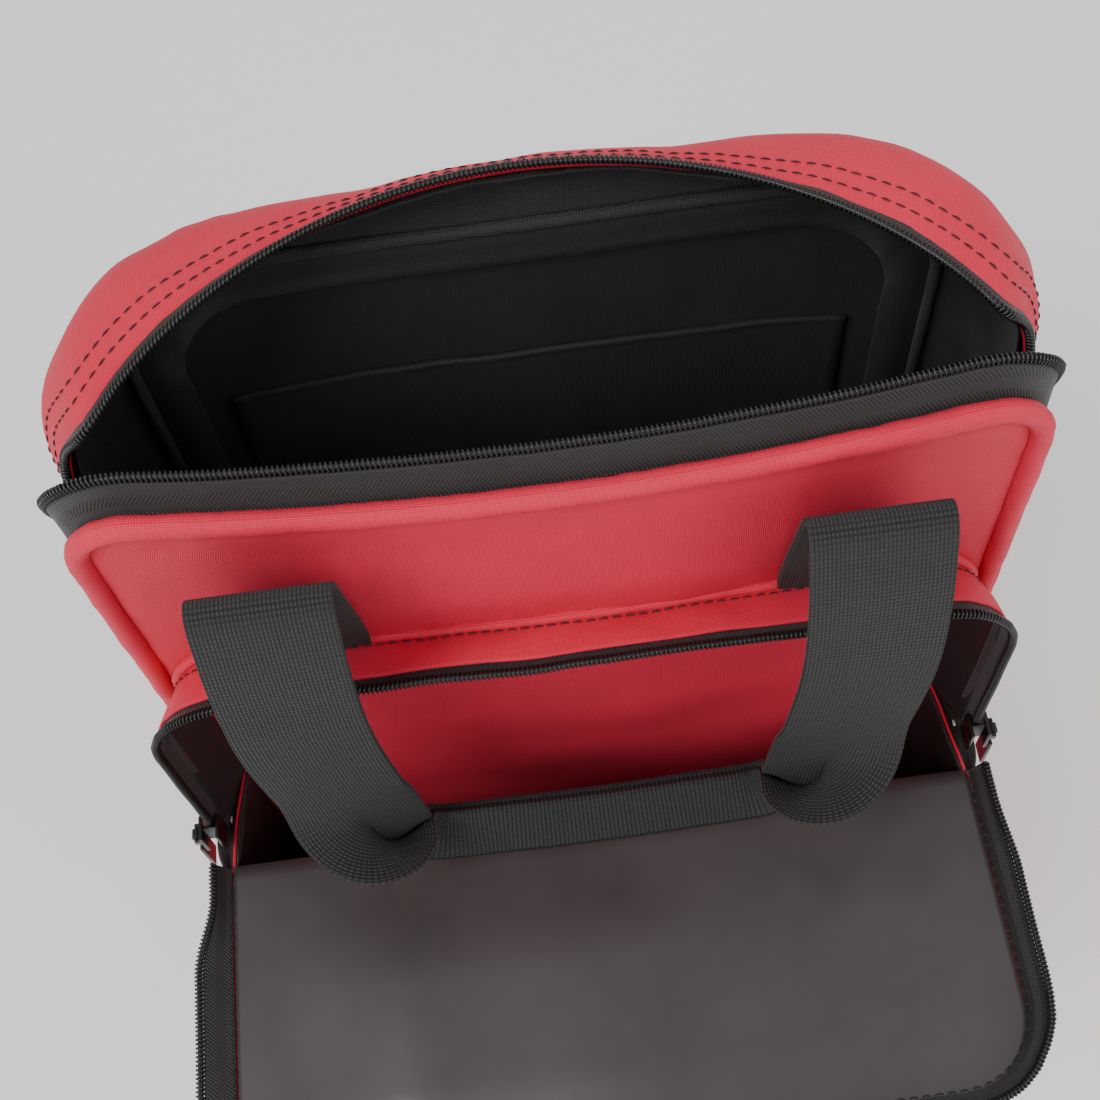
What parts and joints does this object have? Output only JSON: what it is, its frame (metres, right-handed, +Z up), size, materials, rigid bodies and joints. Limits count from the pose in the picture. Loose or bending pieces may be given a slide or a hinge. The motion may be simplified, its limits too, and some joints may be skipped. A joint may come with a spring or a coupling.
{
  "type": "drum stick bag",
  "caption": "Upright soft bag for drum sticks with an open zipped mouth, a padded body, a front pocket whose flap folds down, and webbing carry handles.",
  "frame": {"origin": "in the flat face that the bag stands on, midway across, 46 mm behind the front panel's plane", "axes": "+X to the right as seen from the front, -Y out of the front, +Z up"},
  "size_m": [0.2779, 0.2624, 0.4444],
  "materials": {
    "red_nylon": "basket-woven nylon, slight sheen",
    "red_piping": "nylon-covered piping",
    "foam": "closed-cell foam",
    "black_lining": "plain woven lining",
    "grey_coating": "smooth coated fabric",
    "zip_tape": "herringbone tape",
    "zip_coil": "nylon coil, satin",
    "webbing": "coarse polypropylene webbing",
    "stop_plastic": "matte",
    "zip_metal": "black enamel, satin"
  },
  "bodies": {
    "bag": {"front_panel": "red_nylon", "front_padding": "foam", "front_piping": "red_piping", "back_panel": "red_nylon", "back_padding": "foam", "back_piping": "red_piping", "side_gusset_left": "red_nylon", "side_gusset_right": "red_nylon", "top_gusset": "red_nylon", "bottom_panel": "red_nylon", "base_padding": "foam", "front_lining": "black_lining", "back_lining": "black_lining", "floor_lining": "black_lining", "inner_pocket": "black_lining", "main_zip_tape_front": "zip_tape", "main_zip_coil_front": "zip_coil", "main_zip_tape_back": "zip_tape", "main_zip_coil_back": "zip_coil", "main_zip_stops": "zip_metal", "pocket_top_gusset": "red_nylon", "pocket_side_gusset": "red_nylon", "pocket_front_wall": "red_nylon", "pocket_welt": "red_piping", "pocket_zip_tape": "zip_tape", "pocket_zip_coil": "zip_coil", "pocket_zip_stops": "stop_plastic", "front_handle_risers": "webbing", "rear_handle_risers": "webbing"},
    "flap": {"pocket_flap": "red_nylon", "flap_lining": "grey_coating", "flap_rim": "red_nylon", "flap_zip_tape": "zip_tape", "flap_zip_coil": "zip_coil"},
    "front_handle": {"front_handle_strap": "webbing", "front_handle_grip": "webbing"},
    "rear_handle": {"rear_handle_strap": "webbing", "rear_handle_grip": "webbing"},
    "main_slider_left": {"main_slider_left": "zip_metal"},
    "main_pull_left": {"main_pull_left": "zip_metal"},
    "main_slider_right": {"main_slider_right": "zip_metal"},
    "main_pull_right": {"main_pull_right": "zip_metal"},
    "pocket_slider_left": {"pocket_slider_left": "zip_metal"},
    "pocket_pull_left": {"pocket_pull_left": "zip_metal"},
    "pocket_slider_right": {"pocket_slider_right": "zip_metal"},
    "pocket_pull_right": {"pocket_pull_right": "zip_metal"}
  },
  "joints": [
    {"name": "flap_fold", "type": "hinge", "parent": "bag", "child": "flap", "pos_m": [0, -0.084, 0.25], "axis": [-1, 0, 0], "range_deg": [-75, 90], "deforming": ["front_handle_strap", "front_handle_grip"]},
    {"name": "front_handle_swing", "type": "hinge", "parent": "bag", "child": "front_handle", "pos_m": [0, -0.0705, 0.418], "axis": [-1, 0, 0], "range_deg": [0, 175]},
    {"name": "rear_handle_swing", "type": "hinge", "parent": "bag", "child": "rear_handle", "pos_m": [0, 0.063, 0.366], "axis": [1, 0, 0], "range_deg": [0, 175]},
    {"name": "main_slider_left_travel", "type": "slide", "parent": "bag", "child": "main_slider_left", "axis": [0, 0, 1], "range_m": [-0.285, 0]},
    {"name": "main_pull_left_swing", "type": "hinge", "parent": "main_slider_left", "child": "main_pull_left", "pos_m": [-0.1368, -0.028, 0.376], "axis": [0, 1, 0], "range_deg": [0, 165]},
    {"name": "main_slider_right_travel", "type": "slide", "parent": "bag", "child": "main_slider_right", "axis": [0, 0, 1], "range_m": [-0.285, 0]},
    {"name": "main_pull_right_swing", "type": "hinge", "parent": "main_slider_right", "child": "main_pull_right", "pos_m": [0.1368, -0.028, 0.376], "axis": [0, -1, 0], "range_deg": [0, 165]},
    {"name": "pocket_slider_left_travel", "type": "slide", "parent": "bag", "child": "pocket_slider_left", "axis": [0, 0, 1], "range_m": [0, 0.062]},
    {"name": "pocket_pull_left_swing", "type": "hinge", "parent": "pocket_slider_left", "child": "pocket_pull_left", "pos_m": [-0.1369, -0.073, 0.258], "axis": [0, 1, 0], "range_deg": [0, 165]},
    {"name": "pocket_slider_right_travel", "type": "slide", "parent": "bag", "child": "pocket_slider_right", "axis": [0, 0, 1], "range_m": [0, 0.062]},
    {"name": "pocket_pull_right_swing", "type": "hinge", "parent": "pocket_slider_right", "child": "pocket_pull_right", "pos_m": [0.1369, -0.073, 0.258], "axis": [0, -1, 0], "range_deg": [0, 165]}
  ]
}
